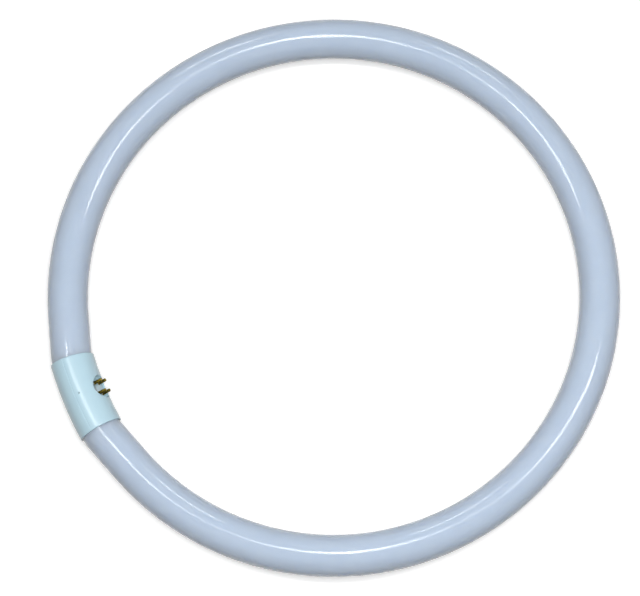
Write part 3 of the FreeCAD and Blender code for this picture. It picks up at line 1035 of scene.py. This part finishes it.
    def build(self) -> None:
        """Make both halves and dress them in the same plastic."""
        material = self.finish.material()
        halves = {"cap_pin_half": self.build_pin_half(), "cap_cover_half": self.build_cover_half()}
        for node, piece in halves.items():
            # Painted shade in the pocket and on the pip ends.
            self.paint_shade(piece)
            smooth(piece, math.radians(35.0))
            install(piece, node, material)


@dataclass(frozen=True)
class ContactPins:
    """Four hollow brass pins in the pocket, two along the tube by two across it."""

    cap: Cap
    finish: TarnishedBrass = TarnishedBrass()
    pin_radius: float = 1.175
    shank_radius: float = 1.0
    bore_radius: float = 0.43
    pin_height: float = 6.3
    tip_round: float = 0.8
    tip_thickness: float = 1.2
    collar_width: float = 0.75
    collar_thickness: float = 0.8
    bead_width: float = 0.3
    bead_height: float = 0.4
    tail_length: float = 1.5
    columns: int = 48

    def profile(self) -> tuple[np.ndarray, np.ndarray]:
        """Outline of a pin from its rounded tip down to its tail and back up its bore.

        Returns:
            Radii and heights along the pin.
        """
        floor_top = self.cap.floor_top
        floor_base = floor_top - self.cap.pocket_floor
        tip = floor_top + self.pin_height
        collar = self.shank_radius + self.collar_width
        collar_base = floor_base - self.collar_thickness
        tail = collar_base - self.tail_length
        sweep = steps(0.0, QUARTER, 8)
        radii = [[0.0], self.pin_radius - self.tip_round * (1 - np.sin(sweep)),
                 np.full(14, self.pin_radius),
                 [self.pin_radius + self.bead_width, self.shank_radius, self.shank_radius, collar, collar,
                  self.shank_radius, self.shank_radius, self.bore_radius, self.bore_radius, 0.0]]
        shaft = steps(tip - self.tip_round, floor_top + self.bead_height, 15)[1:]
        heights = [[tip], tip - self.tip_round * (1 - np.cos(sweep)), shaft,
                   [floor_top, floor_top, floor_base, floor_base, collar_base, collar_base, tail, tail,
                    tip - self.tip_thickness, tip - self.tip_thickness]]
        return np.concatenate(radii), np.concatenate(heights)

    def surface(self, side: int, row: int) -> Surface:
        """Outline turned about the axis of one pin."""
        radii, heights = self.profile()
        around = steps(0.0, FULL_TURN, self.columns + 1)[None, :-1]
        return Surface(self.cap.place.straight_point(
            side * self.cap.pin_along + radii[:, None] * np.cos(around),
            row * self.cap.pin_across + radii[:, None] * np.sin(around),
            heights[:, None] + 0 * around))

    def build(self) -> None:
        """Make the four pins and dress them."""
        material = self.finish.material()
        places = [(side, row) for side in (1, -1) for row in (1, -1)]
        for number, (side, row) in enumerate(places, start=1):
            piece = make_piece("contact_pin_%d_turned" % number, [self.surface(side, row)])
            smooth(piece, math.radians(35.0))
            install(piece, "contact_pin_%d" % number, material)


@dataclass(frozen=True)
class LeadWires:
    """Four wires from the glass seals to the pins, each in a braided sleeve."""

    pins: ContactPins
    wire_finish: DrawnWire = DrawnWire()
    sleeve_finish: BraidedSleeve = BraidedSleeve()
    wire_radius: float = 0.4
    wire_clearance: float = 0.03
    bend_radius: float = 4.0
    seal_depth: float = 3.0
    sleeve_wall: float = 0.35
    sleeve_margin: float = 0.6
    columns: int = 20

    def corners(self, side: int, row: int) -> tuple[np.ndarray, np.ndarray, np.ndarray]:
        """Points that a wire's two straight runs join, before its corner is bent.

        Args:
            side: +1 or -1, the end of the tube.
            row: +1 or -1, the row of pins across the tube.

        Returns:
            The start in the seal, the corner, and the end in the pin's bore.
        """
        cap, line = self.pins.cap, self.pins.cap.place.line
        mirror = np.array([1.0, side, 1.0])
        floor, ahead = line.stem_floor * mirror, onward(line.stem_angle) * mirror
        lead = cap.place.across * (row * cap.pin_across)
        foot = line.cap_middle + ALONG * (side * cap.pin_along) + lead
        run = (abs(floor[1]) - cap.pin_along) / math.cos(line.stem_angle)
        corner_height = (floor + ahead * run - line.cap_middle) @ cap.place.pin_axis
        bore_top = cap.floor_top + self.pins.pin_height - self.pins.tip_thickness - self.wire_clearance
        return (floor + lead - ahead * self.seal_depth, foot + cap.place.pin_axis * corner_height,
                foot + cap.place.pin_axis * bore_top)

    def bent_line(self, start: np.ndarray, corner: np.ndarray, end: np.ndarray) -> tuple[np.ndarray, np.ndarray]:
        """Round off the corner of two straight runs with a tangent arc.

        Args:
            start: First point.
            corner: Point where the runs would meet.
            end: Last point.

        Returns:
            Points of the line, and the two directions across it at each.
        """
        first, second = unit(corner - start), unit(end - corner)
        turn = math.acos(float(first @ second))
        reach = self.bend_radius * math.tan(turn / 2)
        normal = unit(np.cross(first, second))
        aside = np.cross(normal, first)
        sweep = steps(0.0, turn, 13)[:, None]
        centre = corner - first * reach + aside * self.bend_radius
        arc = centre + self.bend_radius * (first * np.sin(sweep) - aside * np.cos(sweep))
        points = np.concatenate([start[None, :], arc, end[None, :]])
        headings = np.concatenate([[first], first * np.cos(sweep) + aside * np.sin(sweep), [second]])
        sideways = np.stack([np.broadcast_to(normal, headings.shape), np.cross(headings, normal)], axis=1)
        return points, sideways

    def circles(self, points: np.ndarray, sideways: np.ndarray, radius: float) -> np.ndarray:
        """Circles of a radius about the points of a line."""
        around = steps(0.0, FULL_TURN, self.columns + 1)[None, :-1, None]
        rounds = np.cos(around) * sideways[:, :1] + np.sin(around) * sideways[:, 1:]
        return points[:, None, :] + radius * rounds

    def wire_surface(self, side: int, row: int) -> Surface:
        """Circle carried along the bent wire, closed at both ends."""
        points, sideways = self.bent_line(*self.corners(side, row))
        rows = self.circles(points, sideways, self.wire_radius)
        caps = [np.repeat(points[[place], None, :], self.columns, axis=1) for place in (0, -1)]
        return Surface(np.concatenate([caps[0], rows, caps[1]]))

    def sleeve_surface(self, side: int, row: int) -> Surface:
        """Outer and inner circle carried along the free length of the wire and joined at both ends."""
        start, corner, _ = self.corners(side, row)
        cap, line = self.pins.cap, self.pins.cap.place.line
        floor_base = cap.floor_top - cap.pocket_floor
        tail = floor_base - self.pins.collar_thickness - self.pins.tail_length
        foot = line.cap_middle + ALONG * (side * cap.pin_along) + cap.place.across * (row * cap.pin_across)
        first = start + unit(corner - start) * (self.seal_depth + self.sleeve_margin)
        points, sideways = self.bent_line(first, corner, foot + cap.place.pin_axis * (tail - self.sleeve_margin))
        bore = self.wire_radius + self.wire_clearance
        outside = self.circles(points, sideways, bore + self.sleeve_wall)
        return Surface(np.concatenate([outside, self.circles(points, sideways, bore)[::-1]]), closed_rows=True)

    def build(self) -> None:
        """Make the wires and the sleeves and dress them."""
        wire_material = self.wire_finish.material()
        sleeve_material = self.sleeve_finish.material()
        places = [(side, row) for side in (1, -1) for row in (1, -1)]
        for number, (side, row) in enumerate(places, start=1):
            wire = make_piece("lead_wire_%d_drawn" % number, [self.wire_surface(side, row)])
            sleeve = make_piece("wire_sleeve_%d_braided" % number, [self.sleeve_surface(side, row)])
            for piece in (wire, sleeve):
                smooth(piece, math.radians(40.0))
            install(wire, "lead_wire_%d" % number, wire_material)
            install(sleeve, "wire_sleeve_%d" % number, sleeve_material)


@dataclass(frozen=True)
class StripLight:
    """Long soft lamp that lies level and faces the middle of the ring.

    Attributes:
        name: Name of the lamp.
        place: Middle of the lamp in metres, to the right of the picture, towards its top and up.
        length: Length in metres, along the picture's width.
        width: Width in metres.
        brightness: Light that its face sends out, where 1 looks white.
        mirrored: True where glossy surfaces show it.
    """

    name: str
    place: tuple[float, float, float]
    length: float
    width: float
    brightness: float
    mirrored: bool = True

    def build(self, right: Vector, ahead: Vector) -> None:
        """Make the lamp.

        Args:
            right: Level direction to the right of the picture.
            ahead: Level direction towards the top of the picture.
        """
        lamp = bpy.data.lights.new(self.name, "AREA")
        lamp.shape = "RECTANGLE"
        lamp.size = self.length
        lamp.size_y = self.width
        lamp.energy = self.brightness * math.pi * self.length * self.width
        holder = bpy.data.objects.new(self.name, lamp)
        bpy.context.scene.collection.objects.link(holder)
        middle = right * self.place[0] + ahead * self.place[1] + Vector((0, 0, self.place[2]))
        back = (ahead * self.place[1] + Vector((0, 0, self.place[2]))).normalized()
        turn = Matrix((right, back.cross(right), back)).transposed()
        holder.matrix_world = Matrix.Translation(middle) @ turn.to_4x4()
        holder.visible_camera = False
        holder.visible_glossy = self.mirrored
        LOG.info("lamp %s at %s", self.name, tuple(round(value, 3) for value in middle))


@dataclass(frozen=True)
class Studio:
    """Pale floor, soft light and the camera of the photograph."""

    camera_place: tuple[float, float, float] = (-104.8, -243.5, 1067.7)
    camera_right: tuple[float, float, float] = (0.91276, -0.40830, -0.0123)
    camera_back: tuple[float, float, float] = (-0.08467, -0.21857, 0.9721)
    focal_pixels: float = 1549.17
    image_width: float = 640.0
    sensor_width: float = 36.0
    floor_size: float = 40.0
    paper_colour: str = "#FAFAFA"
    paper_lift: float = 0.3
    lit_reach: float = 0.4
    far_reach: float = 1.2
    table_colour: str = "#5E5442"
    sky_colour: str = "#FFFFFF"
    sky_level: float = 0.03
    lamps: tuple[StripLight, ...] = (
        StripLight("overhead_left_strip", (-0.53, 0.1, 1.5), 0.68, 0.15, 10.0),
        StripLight("overhead_left_gap", (-0.14, 0.1, 1.5), 0.1, 0.15, 1.5),
        StripLight("overhead_middle_strip", (0.005, 0.1, 1.5), 0.19, 0.15, 10.0),
        StripLight("overhead_right_gap", (0.165, 0.1, 1.5), 0.13, 0.15, 1.5),
        StripLight("overhead_right_strip", (0.57, 0.1, 1.5), 0.68, 0.15, 10.0),
        StripLight("overhead_lamp", (0.008, 0.1, 1.48), 0.04, 0.4, 15.0),
        StripLight("far_left_strip", (-0.53, 1.55, 1.5), 0.46, 0.15, 10.0),
        StripLight("far_right_strip", (0.66, 1.55, 1.5), 0.42, 0.15, 10.0),
        StripLight("camera_lamp", (0.004, -0.265, 1.1), 0.3, 0.3, 18.0, mirrored=False),
        StripLight("ceiling_panel", (0.1, -0.13, 0.85), 0.7, 0.7, 1.55, mirrored=False))

    def build_camera(self) -> None:
        """Make the camera from its place and its directions to the right and back."""
        data = bpy.data.cameras.new("photo_camera")
        data.sensor_fit = "HORIZONTAL"
        data.sensor_width = self.sensor_width
        data.lens = self.focal_pixels / self.image_width * self.sensor_width
        data.clip_start = 0.01
        camera = bpy.data.objects.new("photo_camera", data)
        bpy.context.scene.collection.objects.link(camera)
        back = Vector(self.camera_back).normalized()
        above = back.cross(Vector(self.camera_right)).normalized()
        turn = Matrix((above.cross(back), above, back)).transposed()
        camera.matrix_world = Matrix.Translation(Vector(self.camera_place) * METRE) @ turn.to_4x4()
        bpy.context.scene.camera = camera

    def build_floor(self) -> None:
        """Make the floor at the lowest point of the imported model, white also where the lamps don't reach."""
        half = self.floor_size / 2
        level = CAD_BOX[0].z
        corners = [(-half, -half, level), (half, -half, level), (half, half, level), (-half, half, level)]
        mesh = bpy.data.meshes.new("studio_floor")
        mesh.from_pydata(corners, [], [(0, 1, 2, 3)])
        floor = bpy.data.objects.new("studio_floor", mesh)
        bpy.context.scene.collection.objects.link(floor)
        material, tree, place = new_material("pale_floor_paper")
        table = add_node(tree, "ShaderNodeBsdfDiffuse", {"Color": linear(self.table_colour)})
        paper = add_node(tree, "ShaderNodeBsdfDiffuse", {"Color": linear(self.paper_colour)})
        reach = add_node(tree, "ShaderNodeVectorMath", {0: place}, operation="LENGTH")
        level = add_node(tree, "ShaderNodeMapRange", {
            "Value": reach.outputs["Value"], "From Min": self.lit_reach, "From Max": self.far_reach,
            "To Min": self.paper_lift})
        lift = add_node(tree, "ShaderNodeEmission", {"Strength": level.outputs["Result"]})
        white = add_node(tree, "ShaderNodeAddShader", {0: paper.outputs[0], 1: lift.outputs[0]})
        shader = add_node(tree, "ShaderNodeMixShader", {
            0: self.seen_ray(tree), 1: table.outputs[0], 2: white.outputs[0]})
        end_material(tree, shader)
        mesh.materials.append(material)

    def seen_ray(self, tree: bpy.types.NodeTree) -> bpy.types.NodeSocket:
        """Add a value that is one for rays from the camera, also by way of gloss or glass, and else zero."""
        path = add_node(tree, "ShaderNodeLightPath", {})
        gloss = add_node(tree, "ShaderNodeMath", {
            0: path.outputs["Is Camera Ray"], 1: path.outputs["Is Glossy Ray"]}, operation="MAXIMUM")
        seen = add_node(tree, "ShaderNodeMath", {
            0: gloss.outputs[0], 1: path.outputs["Is Transmission Ray"]}, operation="MAXIMUM")
        return seen.outputs[0]

    def build_sky(self) -> None:
        """Make the soft light from all round, which the camera and reflections see as white."""
        world = bpy.data.worlds.new("soft_room")
        world.use_nodes = True
        tree = world.node_tree
        tree.nodes.clear()
        level = add_node(tree, "ShaderNodeMapRange", {"Value": self.seen_ray(tree), "To Min": self.sky_level})
        sky = add_node(tree, "ShaderNodeBackground", {
            "Color": linear(self.sky_colour), "Strength": level.outputs["Result"]})
        add_node(tree, "ShaderNodeOutputWorld", {"Surface": sky.outputs["Background"]})
        bpy.context.scene.world = world

    def build(self) -> None:
        """Make the whole studio."""
        bpy.context.scene.view_settings.view_transform = "Standard"
        self.build_camera()
        self.build_floor()
        self.build_sky()
        right = Vector((self.camera_right[0], self.camera_right[1], 0)).normalized()
        ahead = Vector((-right.y, right.x, 0))
        for lamp in self.lamps:
            lamp.build(right, ahead)


def main() -> None:
    """Build the studio and the lamp, piece by piece."""
    logging.basicConfig(level=logging.INFO, format="%(name)s: %(message)s")
    Studio().build()
    line = LampLine()
    GlassTube(line).build()
    cap = Cap(CapFrame(line), CapSizes(line.tube_radius))
    cap.build()
    pins = ContactPins(cap)
    pins.build()
    LeadWires(pins).build()


if __name__ == "__main__":
    main()
